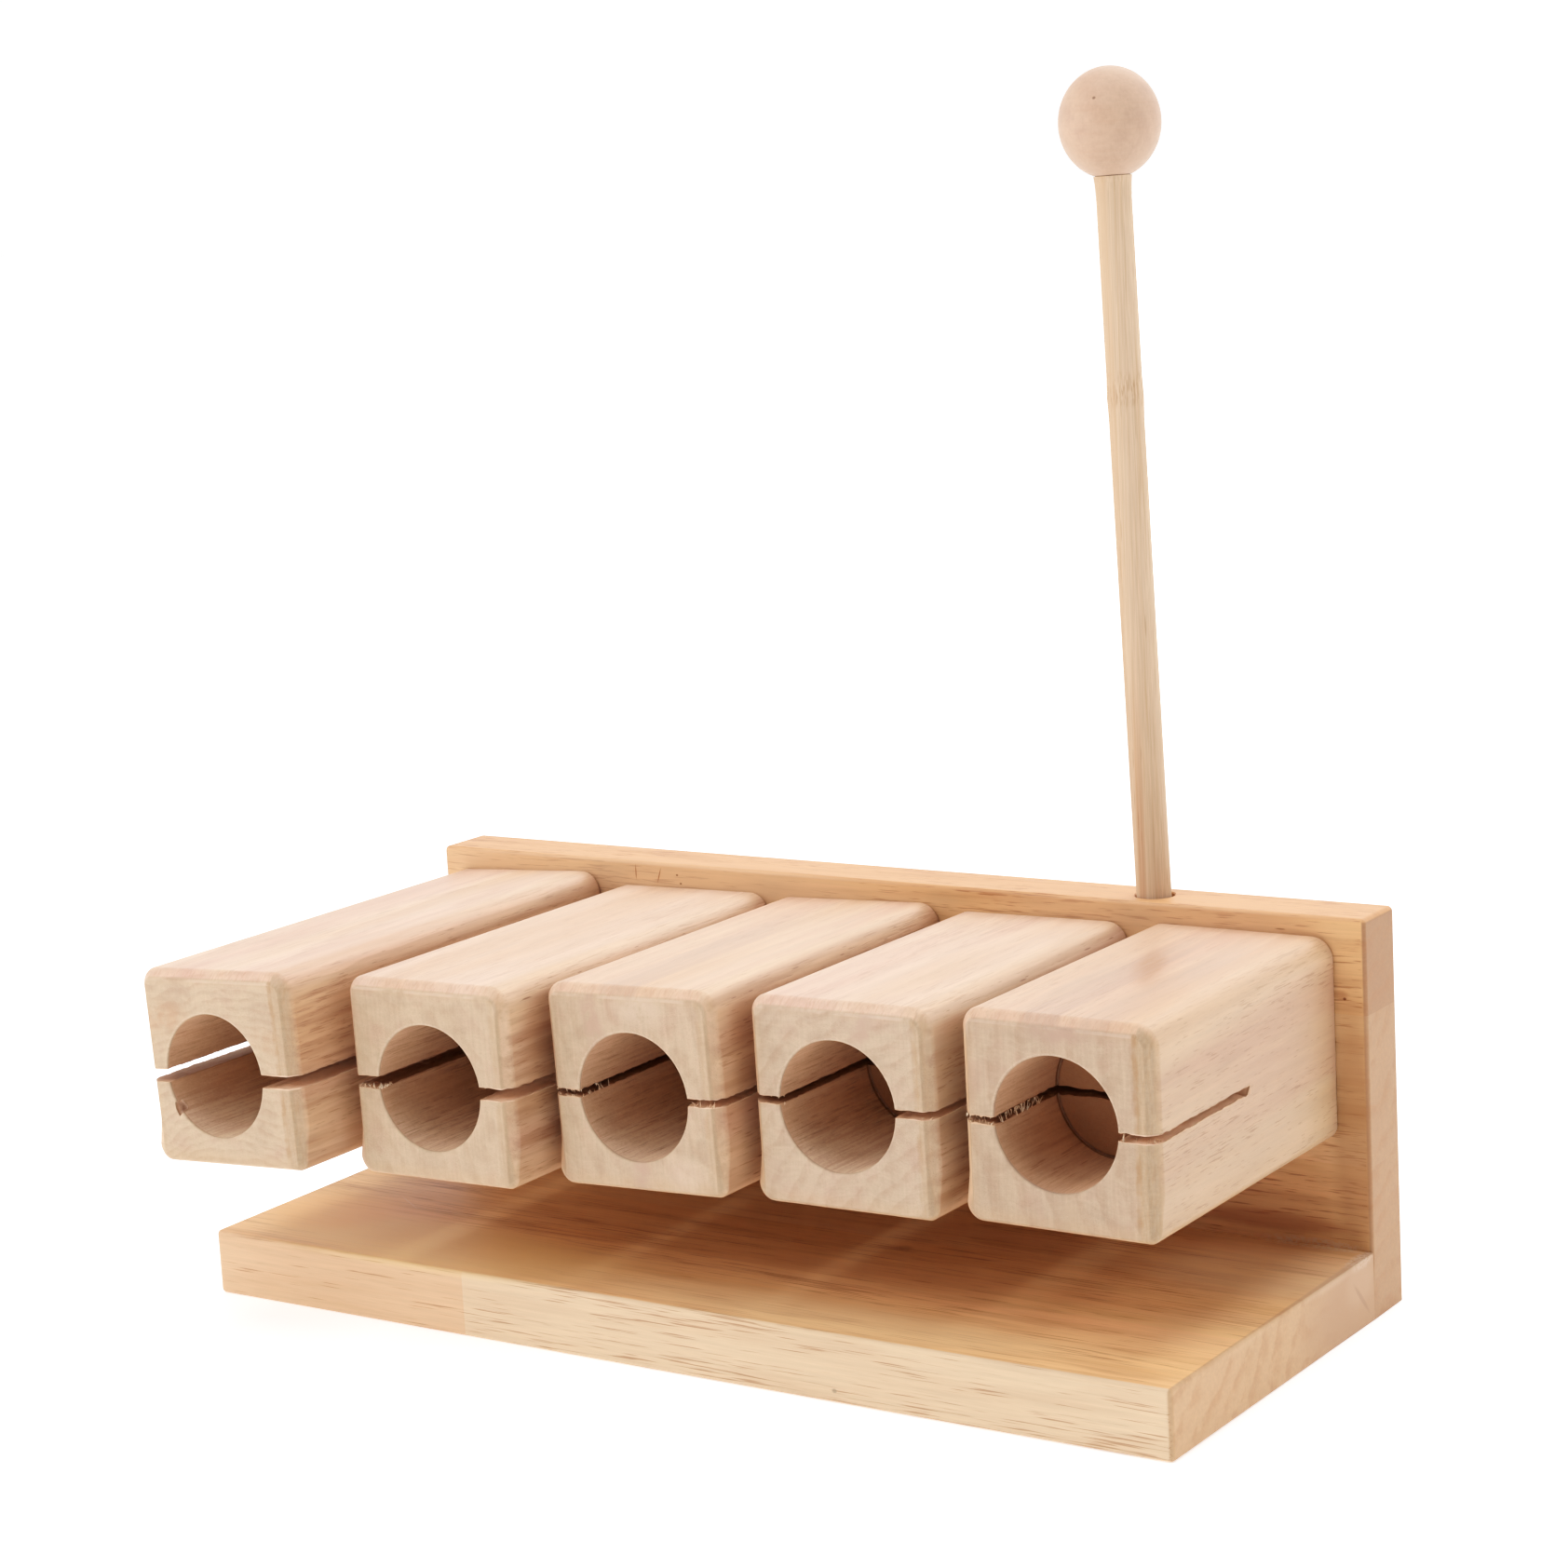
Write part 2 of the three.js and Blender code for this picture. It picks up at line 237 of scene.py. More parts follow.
def slice_through(mesh, place, way):
    """Adds edges where a plane, through a place in millimetres, passes through a mesh."""
    geom = mesh.verts[:] + mesh.edges[:] + mesh.faces[:]
    bmesh.ops.bisect_plane(mesh, geom=geom, plane_co=Vector(place) * MM, plane_no=way)


def box(low, high):
    """A box between two corners in millimetres."""
    mesh = bmesh.new()
    bmesh.ops.create_cube(mesh, size=1)
    low, high = Vector(low) * MM, Vector(high) * MM
    bmesh.ops.scale(mesh, vec=high - low, verts=mesh.verts)
    bmesh.ops.translate(mesh, vec=(low + high) / 2, verts=mesh.verts)
    return mesh


def turned(profile, steps):
    """A turned shape about Z, from radii and heights in millimetres that start and end on the axis."""
    mesh = bmesh.new()
    verts = [mesh.verts.new((radius * MM, 0, height * MM)) for radius, height in profile]
    edges = [mesh.edges.new(pair) for pair in zip(verts, verts[1:])]
    bmesh.ops.spin(mesh, geom=verts + edges, cent=(0, 0, 0), axis=(0, 0, 1), dvec=(0, 0, 0),
                   angle=math.tau, steps=steps, use_merge=True, use_duplicate=False)
    bmesh.ops.remove_doubles(mesh, verts=mesh.verts, dist=0.001 * MM)
    bmesh.ops.recalc_face_normals(mesh, faces=mesh.faces)
    return mesh


def edges_along(mesh, axis):
    """The edges that run along an axis."""
    return [e for e in mesh.edges if abs((e.verts[0].co - e.verts[1].co).normalized()[axis]) > 0.999]


def edges_at(mesh, axis, place):
    """The edges that lie in the plane where a coordinate has this value in millimetres."""
    return [e for e in mesh.edges if all(abs(v.co[axis] - place * MM) < 0.01 * MM for v in e.verts)]


def middle_of(edge):
    return (edge.verts[0].co + edge.verts[1].co) / 2


def placed(mesh, matrix):
    bmesh.ops.transform(mesh, matrix=matrix, verts=mesh.verts)
    return mesh


def at(x, y, z):
    return Matrix.Translation(Vector((x, y, z)) * MM)


def turning(angle, axis):
    return Matrix.Rotation(math.radians(angle), 4, axis)


ALONG_Y = turning(-90, "X")


def along_y(profile, steps, x, y, z):
    """A turned cutter, whose heights run along Y from a place in millimetres."""
    return piece_of("cutter", placed(turned(profile, steps), at(x, y, z) @ ALONG_Y))


def pilot_cutter(depth, x, y, z):
    return along_y([(0, -depth), (PILOT_RADIUS, -depth), (PILOT_RADIUS, 5), (0, 5)], 24, x, y, z)


# Tone blocks, each made with the middle of its front at the origin

def bar(length):
    """The bar before it is bored and sawn."""
    mesh = box((-HALF, 0, -HALF), (HALF, length, HALF))
    for sides, radius in LONG_EDGES.items():
        spots = [e for e in edges_along(mesh, 1) if (middle_of(e).x < 0, middle_of(e).z > 0) == sides]
        bevel(mesh, [e for e in spots if e.calc_face_angle(0) > 1], radius, 10)
    bevel(mesh, edges_at(mesh, 1, length), REAR_EASE, 3)
    bevel(mesh, edges_at(mesh, 1, 0), FRONT_EASE, 1)
    soft_shoulder, soft_brow = 0.9, 0.22
    bevel(mesh, edges_at(mesh, 1, FRONT_EASE), soft_shoulder, 3)
    bevel(mesh, edges_at(mesh, 1, 0), soft_brow, 2)
    ease_lower_front_less(mesh)
    return mesh


def ease_lower_front_less(mesh):
    """Pulls the low part of the front's easing in, so that the flat runs on nearly to the bottom edge."""
    full, none = -HALF + WIDEST_LONG_EDGE, -HALF + 2 * WIDEST_LONG_EDGE
    slice_through(mesh, (0, 0, none), (0, 0, 1))
    saved = FRONT_EASE - LOWER_FRONT_EASE
    for vert in mesh.verts:
        spot = vert.co / MM
        if spot.y < 2 * FRONT_EASE:
            share = min(max((none - spot.z) / (none - full), 0), 1)
            vert.co.z -= saved * share * max(0, 1 - spot.y / FRONT_EASE) * MM
            vert.co.y *= 1 - share * saved / FRONT_EASE


def bore_cutter(depth, side, rise):
    """A stopped bore with an eased mouth, and the fine groove that the bit's rim leaves at the bottom."""
    before, groove, groove_width = -8, 0.5, 0.25
    profile = [(0, before), (BORE_RADIUS + RIM_EASE, before)]
    steps = 5
    for step in range(steps + 1):
        angle = math.radians(90) * step / steps
        radius = BORE_RADIUS + RIM_EASE * (1 - math.sin(angle))
        profile.append((radius, RIM_EASE * (1 - math.cos(angle))))
    profile += [(BORE_RADIUS, depth + groove), (BORE_RADIUS - groove_width, depth + groove),
                (BORE_RADIUS - 0.7, depth), (0, depth)]
    return along_y(profile, 112, side, 0, rise)


def kerf_middle(block):
    return block["bore"][1] + block["kerf_rise"]


def kerf_cutter(block, seed):
    """The saw's cut, with ragged walls, and an end that leans."""
    depth = block["bore_depth"] + KERF_PAST_BORE
    middle, half = kerf_middle(block), block["kerf"] / 2
    low, high = (-HALF - 5, -6, middle - half), (HALF + 5, depth, middle + half)
    mesh = box(low, high)
    cell = 0.8
    for axis in (0, 1):
        way = Vector((0, 0, 0))
        way[axis] = 1
        place = low[axis] + cell
        while place < high[axis] - cell / 2:
            slice_through(mesh, way * place, way)
            place += cell
    for vert in mesh.verts:
        spot = vert.co / MM
        side = 1 if spot.z > middle else -1
        torn = noise.noise(Vector((spot.x * 0.75, spot.y * 0.75, seed + 9 * side)))
        slow = noise.noise(Vector((spot.x * 0.07, spot.y * 0.09, seed + 3 * side)))
        vert.co.z += (torn * block["rough"] + slow * 0.22) * MM
        if spot.y > depth - 0.1:
            ragged = noise.noise(Vector((spot.x * 0.6, spot.z, seed))) * 0.5
            vert.co.y += (0.75 + ragged + 0.7 * side) * MM
    return mesh


def notch_cutter():
    """A small ragged bite out of the bore's lip, as a blunt bit tears it."""
    mesh = bmesh.new()
    bmesh.ops.create_icosphere(mesh, subdivisions=3, radius=1.5 * MM)
    for vert in mesh.verts:
        vert.co *= 1 + 0.5 * noise.noise(vert.co / MM * 0.9)
    bmesh.ops.scale(mesh, vec=(0.8, 1.3, 1.5), verts=mesh.verts)
    return placed(mesh, at(-15.7, 0.3, -10.4))


def block_seat(number):
    """Where the middle of a block's front is, and how long the block is, from its solid."""
    low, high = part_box(f"block_{number}")
    return Vector(((low.x + high.x) / 2, low.y, (low.z + high.z) / 2)), (high.y - low.y) / MM


def put_on_seat(made, seat, turn):
    """Turns what was made at the origin about the block's length, and moves it to the block's seat."""
    made.data.transform(Matrix.Translation(seat) @ turning(-turn, "Y"))


def block_piece(number, block):
    seat, length = block_seat(number)
    made = piece_of(f"tone_block_{number}", bar(length), block_wood(number, block, seat, length))
    side, rise = block["bore"]
    cutters = [
        bore_cutter(block["bore_depth"], side, rise),
        piece_of("kerf", kerf_cutter(block, number * 7.3)),
        pilot_cutter(23.2, 0, length, 0),
    ]
    if number == 1:
        cutters.append(piece_of("notch", notch_cutter()))
    carve(made, cutters)
    soften(made)
    put_on_seat(made, seat, block["turn"])
    return made


def fibre(mesh, length, radius, curl):
    """One thin splinter from the origin up along Z, curling a little to one side."""
    made = bmesh.ops.create_cone(mesh, cap_ends=True, segments=5, radius1=radius * MM,
                                 radius2=0.02 * MM, depth=length * MM)
    verts = made["verts"]
    bmesh.ops.translate(mesh, vec=(0, 0, length / 2 * MM), verts=verts)
    for share in (0.35, 0.7):
        faces = {face for vert in verts for face in vert.link_faces}
        edges = {edge for vert in verts for edge in vert.link_edges}
        cut = bmesh.ops.bisect_plane(mesh, geom=[*verts, *edges, *faces],
                                     plane_co=(0, 0, length * share * MM), plane_no=(0, 0, 1))
        verts = verts + [item for item in cut["geom_cut"] if isinstance(item, bmesh.types.BMVert)]
    for vert in verts:
        share = vert.co.z / (length * MM)
        vert.co.x += curl * share * share * MM
    return verts


def torn_fibres(number, block, material):
    """Splinters left on the lips of the saw cut, each rooted a little inside the wood."""
    seat, _ = block_seat(number)
    chance = random.Random(number)
    mesh = bmesh.new()
    for count, across, deep, lip, lengths, lean in block["torn"]:
        for _ in range(count):
            up = lip == "low" or (lip == "both" and chance.random() < 0.5)
            length, radius = chance.uniform(*lengths), chance.uniform(0.1, 0.2)
            verts = fibre(mesh, length, radius, chance.uniform(-0.7, 0.7))
            way = 0 if up else 180
            tilt = turning(way + chance.uniform(-lean, lean), "X")
            sway = turning(chance.uniform(-lean, lean) / 2, "Y")
            height = kerf_middle(block) + (block["kerf"] / 2 + 0.05) * (-1 if up else 1)
            root = at(chance.uniform(*across), chance.uniform(*deep), height)
            bmesh.ops.transform(mesh, matrix=root @ sway @ tilt, verts=verts)
    made = piece_of(f"tone_block_{number}_torn_fibres", mesh, material)
    put_on_seat(made, seat, block["turn"])
    return soften(made)


# Materials

# Share of its shown brightness that a material has, as the studio's lights are strong
UNDER_STRONG_LIGHT = 0.83


def shade(red, green, blue):
    """The shader's colour of a finish that shows on a screen as this under the studio's lights."""
    shares = (red / 255, green / 255, blue / 255)
    linear = [((s + 0.055) / 1.055) ** 2.4 if s > 0.04045 else s / 12.92 for s in shares]
    return (*(UNDER_STRONG_LIGHT * value for value in linear), 1)


class Value:
    """A number that a finish's nodes work out, to reckon with like any other."""

    def __init__(self, finish, socket):
        self.finish, self.socket = finish, socket

    def __add__(self, other):
        return self.finish.math("ADD", self, other)

    def __sub__(self, other):
        return self.finish.math("SUBTRACT", self, other)

    def __rsub__(self, other):
        return self.finish.math("SUBTRACT", other, self)

    def __mul__(self, other):
        return self.finish.math("MULTIPLY", self, other)

    def __truediv__(self, other):
        return self.finish.math("DIVIDE", self, other)

    def __abs__(self):
        return self.finish.math("ABSOLUTE", self)

    def rise(self, low, high):
        """0 below low, 1 above high and a smooth step between."""
        inputs = {"Value": self, "From Min": low, "From Max": high}
        made = self.finish.node("MapRange", inputs, interpolation_type="SMOOTHSTEP")
        return Value(self.finish, made.outputs[0])

    def fall(self, low, high):
        """1 below low, 0 above high and a smooth step between."""
        return 1 - self.rise(low, high)

    def near(self, middle, half, soft):
        """1 within half of the middle, and 0 past the soft edge."""
        return abs(self - middle).fall(half, half + soft)


class Nodes:
    """The nodes of a material or a world, and short ways to add more."""

    def __init__(self, owner):
        owner.use_nodes = True
        self.tree = owner.node_tree

    def node(self, kind, inputs, **settings):
        made = self.tree.nodes.new("ShaderNode" + kind)
        for key, value in settings.items():
            setattr(made, key, value)
        self.fill(made, inputs)
        return made

    def fill(self, node, inputs):
        """Links the inputs that nodes work out, and sets the others. Three numbers are a screen colour."""
        for key, value in inputs.items():
            if isinstance(value, Value):
                value = value.socket
            socket = node.inputs[key]
            if isinstance(value, bpy.types.NodeSocket):
                self.tree.links.new(value, socket)
            elif socket.type == "RGBA" and len(value) == 3:
                socket.default_value = shade(*value)
            else:
                socket.default_value = value

    def math(self, operation, a, b=0.0):
        return Value(self, self.node("Math", {0: a, 1: b}, operation=operation).outputs[0])

    def most(self, a, b):
        return self.math("MAXIMUM", a, b)

    def length(self, a, b):
        """How long a step is, from its two parts."""
        return self.math("SQRT", a * a + b * b)

    def axes(self, vector):
        return [Value(self, socket) for socket in self.node("SeparateXYZ", {0: vector}).outputs[:3]]

    def shift(self, vector, by):
        return self.node("VectorMath", {0: vector, 1: by}, operation="ADD").outputs[0]

    def stretch(self, vector, by):
        return self.node("VectorMath", {0: vector, 1: by}, operation="MULTIPLY").outputs[0]

    def mix(self, share, a, b, blend="MIX"):
        return self.node("Mix", {0: share, 6: a, 7: b}, data_type="RGBA", blend_type=blend).outputs[2]

    def ramp(self, value, stops, interpolation="LINEAR"):
        made = self.node("ValToRGB", {0: value})
        band = made.color_ramp
        band.interpolation = interpolation
        band.elements[0].position, band.elements[0].color = stops[0]
        band.elements[1].position, band.elements[1].color = stops[-1]
        for place, colour in stops[1:-1]:
            band.elements.new(place).color = colour
        return made.outputs[0]


class Finish(Nodes):
    """One material, with the colour that it has so far and its ways to find a place on the piece."""

    def __init__(self, name):
        self.material = bpy.data.materials.new(name)
        super().__init__(self.material)
        self.colour = self.local = None

    def done(self, relief, depth, strength, **inputs):
        """Joins the colour, a relief that is so many millimetres deep and the rest to the shader."""
        bump = self.node("Bump", {"Height": relief, "Distance": depth * MM, "Strength": strength})
        shader = self.tree.nodes["Principled BSDF"]
        self.fill(shader, {"Base Color": self.colour, "Normal": bump.outputs[0]})
        self.fill(shader, {key.replace("_", " "): value for key, value in inputs.items()})
        return self.material

    def framed(self, middle, turn, scale):
        """The object's coordinates about a middle in metres, turned by degrees and scaled."""
        inputs = {"Vector": self.node("TexCoord", {}).outputs["Object"], "Location": middle,
                  "Rotation": [math.radians(angle) for angle in turn], "Scale": scale}
        return self.node("Mapping", inputs, vector_type="TEXTURE").outputs[0]

    def place(self, middle=(0, 0, 0), turn=(0, 0, 0)):
        """Finds the piece's own coordinates in millimetres, with the grain along Y, and gives all three."""
        self.local = self.framed(middle, turn, (MM, MM, MM))
        return self.axes(self.local)

    def spot(self, middle, half_sizes, turn=(0, 0, 0), soft=0.6):
        """1 in the middle of a soft, long spot. The middle is in metres, the half sizes in millimetres."""
        inside = self.framed(middle, turn, [size * MM for size in half_sizes])
        reach = self.node("VectorMath", {0: inside}, operation="LENGTH").outputs["Value"]
        return Value(self, reach).fall(1 - soft, 1)

    def pattern(self, fineness, detail=2, roughness=0.5, move=None, where=None):
        """Soft random clouds from 0 to 1, finer along an axis the greater its fineness is."""
        spots = self.stretch(where or self.local, fineness)
        if move:
            spots = self.shift(spots, move)
        inputs = {"Vector": spots, "Scale": 1, "Detail": detail, "Roughness": roughness}
        return Value(self, self.node("TexNoise", inputs).outputs[0])

    def late_wood(self, pith, spacing, wander, seed, start):
        """The dark end of each year's growth, in rings round a pith that runs along Y."""
        x, _, z = self.axes(self.local)
        drift = self.pattern((0.04, 0.007, 0.04), 3, 0.55, (seed, 0, 0))
        reach = self.length(x - pith[0], z - pith[1]) + (drift - 0.5) * wander
        year = self.math("FRACT", reach / spacing)
        return year.rise(start, 0.85) * year.fall(0.88, 1)

    def vessels(self, fine_across, fine_along, bias, seed):
        """Vessels cut open: fine broken lines along the grain, which gather in places. Bias makes more."""
        lines = self.pattern((fine_across, fine_along, fine_across), 2, 0.6, (seed, 0, 7))
        gather = self.pattern((0.09, 0.012, 0.09), 3, 0.6, (0, seed, 3))
        return (lines + (gather - 0.5) * 0.5 + bias).rise(0.60, 0.72)

    def pores(self, width, length, share, seed):
        """Short dark dashes along the grain. Width and length are of the cells that may hold one."""
        spots = self.stretch(self.local, (1 / width, 1 / length, 1 / width))
        inputs = {"Vector": self.shift(spots, (seed, seed, seed)), "Scale": 1, "Randomness": 1}
        cells = self.node("TexVoronoi", inputs).outputs
        kept = self.axes(cells["Color"])[0].rise(1 - share, 1 - share + 0.02)
        return Value(self, cells["Distance"]).fall(0.10, 0.24) * kept

    def blend(self, value, *colours, low=0.3, high=0.7):
        """From screen colour to screen colour in even steps, as the value goes from low to high."""
        step = (high - low) / (len(colours) - 1)
        stops = [(low + step * count, shade(*colour)) for count, colour in enumerate(colours)]
        return self.ramp(value, stops)

    def lay(self, colour, share):
        """Lays a colour over the finish's own, as thickly as the share."""
        self.colour = self.mix(share, self.colour, colour)

    def wash(self, tint, share=1.0):
        """Multiplies the finish's colour by a tint or a number, as strongly as the share."""
        self.colour = self.mix(share, self.colour, tint, "MULTIPLY")


class BlockWood(Finish):
    """Pale, sanded hardwood: pinkish cream along the grain, greyer where it is cut across."""

    def __init__(self, number, block, seat):
        super().__init__(f"tone_block_wood_{number}")
        seed = number * 13.7
        self.block, self.seat, self.seed = block, seat, seed
        self.x, self.y, self.z = self.place(seat, (0, -block["turn"], 0))
        self.front = self.y.fall(0.25, 0.9)
        self.late = self.late_wood(block["pith"], block["ring"], 12, seed, 0.25)
        self.slow = self.pattern((0.06, 0.006, 0.06), move=(seed, 4, 0))
        self.cloud = self.pattern((0.3, 0.035, 0.3), 4, 0.65, (seed, 9, 0))
        self.unevenly = self.cloud.rise(0.3, 0.6)
        self.fibre = self.pattern((1.1, 0.045, 1.1), 5, 0.72, (0, seed, 0))
        self.vessel = self.vessels(2.3, 0.12, block["vessels"], seed)
        self.find_saw_marks()
        self.find_cuts()

    def find_saw_marks(self):
        """Upright scratches, level ones that wave a little, and grit."""
        wave = self.node("CombineXYZ", {2: self.pattern((0.05, 0.05, 0.05)) * 14}).outputs[0]
        self.saw = self.pattern((1.1, 0.4, 0.05), 5, 0.75, (self.seed, 0, 0))
        waved = self.shift(self.local, wave)
        self.scour = self.pattern((0.05, 0.4, 0.9), 5, 0.75, (0, 0, self.seed), waved)
        self.grit = self.pattern((1.5, 1, 1.5), 5, 0.75)

    def find_cuts(self):
        """How far a point is from the bore's axis, and where the bore's and the saw cut's walls are."""
        block = self.block
        side, rise = block["bore"]
        self.up = self.z - rise
        self.reach = self.length(self.x - side, self.up)
        self.bored = self.reach.fall(16, 16.3) * self.y.rise(0.5, 1)
        cut_end = block["bore_depth"] + KERF_PAST_BORE
        between_lips = self.z.near(kerf_middle(block), block["kerf"] / 2 + 0.12, 0.15)
        self.sawn = between_lips * self.y.fall(cut_end + 1.4, cut_end + 2)
        self.raw = self.most(self.bored, self.sawn)

    def patch(self, middle, half_sizes, turn, kind, strength):
        """A soft stain, or on block 5's top a painted reflection, at a place in millimetres from the middle
        of the front.
        """
        spot = self.spot(self.seat + Vector(middle) * MM, half_sizes, turn, 0.75)
        self.lay(STAINS[kind], spot * strength * self.cloud.rise(0.25, 0.6))

    def long_grain(self):
        """The sanded faces along the grain: growth rings, stripes, clouds and open vessels."""
        self.colour = self.blend(self.slow, (230, 186, 146), (238, 198, 162), (229, 182, 151))
        self.lay((196, 148, 116), self.late * self.block["ring_depth"] * self.unevenly)
        for middle, half, run, kind, strength in self.block["stripes"]:
            wavy = (self.x + (self.slow - 0.5) * 4).near(middle, half, 2.4)
            self.lay(STAINS[kind], wavy * self.y.fall(run * 0.6, run) * strength)
        self.wash(self.fibre * 0.34 + self.cloud * 0.3 + 0.68)
        seen = 0.42 - self.z.rise(18, 22) * 0.2
        self.lay((158, 104, 68), self.vessel * self.y.rise(1, 4) * seen)

    def top_and_right_side(self):
        """Each of these faces has its own tint: the top's is a painted sheen, the right side's painted shade
        that is weaker low down, near the top and near the front. The side has streaks and dashes too, the
        top patches.
        """
        block, x, y, z = self.block, self.x, self.y, self.z
        # Painted sheen: the tint whitens the top as the light's reflection would (for block 5 it darkens
        # it), less toward the right edge.
        off_the_edge = 1 - x.rise(16, 22) * 0.7
        self.wash((*block["top"], 1), z.rise(18, 24) * off_the_edge)
        # Painted shade on the right side: the tint darkens it, less in its lower half, near the top and near
        # the front where light reaches.
        low_share = block["side_low"]
        upper = z.rise(-15, 4) * (1 - low_share) + low_share
        below_top = 1 - z.rise(14, 21) * 0.5
        unlit = 1 - y.fall(3, 12) * z.rise(-6, 6) * block["lit"]
        self.wash((*block["side"], 1), x.rise(HALF - 3.5, HALF - 0.4) * upper * below_top * unlit)
        streak = self.pattern((0.24, 0.014, 0.24), 4, 0.6, (self.seed, 2, 0))
        self.lay((146, 92, 56), x.rise(21.5, 24.6) * streak.rise(0.44, 0.62) * block["streaks"])
        dash = self.most(self.pores(1.1, 9, 0.32, self.seed), self.pores(0.8, 6, 0.25, self.seed + 5))
        self.lay((128, 78, 48), dash * x.rise(22, 24.6) * y.rise(3, 6) * block["dashes"])
        for (right, back), (half_x, half_y), turn, kind, strength in block["top_patches"]:
            self.patch((right, back, HALF), (half_x, half_y, 6), (0, 0, turn), kind, strength)

    def front_end(self):
        """The end grain of the front, sawn and lightly sanded, with a painted highlight along its top edge
        and another round the upper part of the bore's mouth.
        """
        block, z = self.block, self.z
        blotch = self.pattern((0.12, 0.12, 0.12), 3, 0.6, (0, self.seed, 0))
        self.colour = self.blend(blotch, (194, 166, 138), (211, 184, 153), (203, 170, 143))
        self.lay((176, 138, 112), self.late * block["arcs"] * self.unevenly)
        upright, level = block["saw"]
        even_tone = 0.795 - 0.19 * upright - 0.19 * level
        scratches = self.saw * (0.38 * upright) + self.scour * (0.38 * level)
        self.end_tone = scratches + self.grit * 0.4 + even_tone
        self.wash(self.end_tone)
        inner = HALF - self.most(abs(self.x), abs(z))
        self.lay((216, 172, 124), inner.fall(1.5, 5) * 0.22)
        # Painted highlight along the front's top edge.
        brow = inner.near(FRONT_EASE, 0.2, 0.3) * z.rise(17, 21)
        self.lay((240, 212, 184), brow * blotch.rise(0.35, 0.6) * 0.5)
        for (right, up), (half_x, half_z), turn, kind, strength in block["front_patches"]:
            self.patch((right, 0, up), (half_x, 3, half_z), (0, turn, 0), kind, strength)
        self.wash((*block["front"], 1))
        # Painted highlight round the upper part of the bore's mouth.
        mouth = self.reach.near(BORE_RADIUS + 0.35, 0.15, 0.3) * self.up.rise(-2, 3)
        self.lay((244, 218, 190), mouth * self.grit.rise(0.3, 0.6) * 0.3)

    def front_edges(self):
        """Ticks along the top's front edge, and a worn strip and a brown line at the right one."""
        x, y = self.x, self.y
        ticks = self.pattern((1.7, 0.35, 0.2), 3, 0.6, (self.seed, 3, 0)).rise(0.5, 0.64)
        self.lay((206, 150, 122), ticks * y.near(1.5, 0.9, 0.7) * self.z.rise(20, 22.5) * 0.3)
        half, run, strength = self.block["corner"]
        scored = self.pattern((2.6, 1, 0.3), 3, 0.7).rise(0.35, 0.7)
        worn = self.mix(scored * 0.5, STAINS["grey"], (186, 142, 100))
        worn = self.mix(1.0, worn, self.end_tone, "MULTIPLY")
        self.lay(worn, x.near(HALF - 0.5 - half, half, 0.5) * y.fall(1.2, run) * strength)
        bend = self.pattern((0.1, 0.1, 0.3), 3, 0.7) - 0.5
        line = (x + bend * 1.5).near(HALF - 0.9 - 2 * half, 0.3, 0.7)
        broken = self.grit.rise(0.2, 0.55) * self.pattern((0.2, 0.2, 0.16)).rise(0.35, 0.6)
        self.lay((182, 138, 98), line * self.front * broken * strength)

    def cut_walls(self, length):
        """The bore's wall and the saw cut, never sanded, with painted light and painted shade on them, and
        the dark joint at the bar's rear end.
        """
        x, y = self.x, self.y
        torn = (self.fibre + self.grit * 0.4).rise(0.56, 0.86)
        # Painted light: the bore's lower wall paler, where light from the front falls on it.
        painted_light_low_wall = self.up.fall(-14, -4) * self.block["bore_painted_light"]
        bare = self.mix(painted_light_low_wall, (230, 187, 150), (255, 229, 199))
        bare = self.mix(torn * 0.6, bare, (190, 140, 110))
        bare = self.mix(self.vessel * 0.35, bare, (136, 84, 58))
        self.lay(bare, self.raw * 0.8)
        # Painted shade deep in the saw cut near the bore, and painted light on its wall toward the right
        # side.
        self.lay((150, 94, 66), self.sawn * x.fall(15.5, 19) * y.rise(0.5, 3) * 0.45)
        self.lay((255, 216, 186), self.sawn * x.rise(16, 20) * x.fall(24.2, 24.8) * 0.7)
        self.lay((140, 88, 56), y.rise(length - 1.1, length - 0.5) * self.grit.rise(0.2, 0.5) * 0.6)

    def notch(self):
        """Brown, torn wood in the bite out of the bore's lip."""
        middle = turning(-self.block["turn"], "Y") @ (Vector((-15.6, 0.8, -10.4)) * MM)
        bite = self.spot(self.seat + middle, (1.7, 2.6, 2.3), soft=0.5)
        self.lay((128, 72, 46), bite * 0.75 * self.grit.rise(0.2, 0.5))

    def bore_bottom(self):
        """The bore's bottom, darker as end grain and as painted shade, and the ring round it that the bit
        burnt.
        """
        depth = self.block["bore_depth"]
        # Partly end grain's own darker colour, partly painted shade at the bottom of the bore.
        self.lay((178, 122, 78), self.y.near(depth, 0.3, 0.1) * self.bored * 0.8)
        burnt = self.y.near(depth + 0.3, 0.5, 0.5) * self.reach.rise(14.6, 15.4)
        self.lay((120, 70, 42), burnt * self.bored * 0.4)

    def surface(self):
        """Unsanded wood is rougher, and shows the saw's marks in relief."""
        unsanded = self.most(self.raw, self.front)
        rough = self.fibre * 0.16 + unsanded * 0.22 + 0.36
        fine = self.pattern((6, 0.5, 6), 2, 0.6)
        grain = (self.fibre + fine * 0.5 - self.vessel * 0.8) * (1 - self.bored * 0.6)
        sawing = (self.saw + self.scour + self.grit) * unsanded * 1.2
        return self.done(grain + sawing, 0.06, 0.8, Roughness=rough, Specular_IOR_Level=0.5)


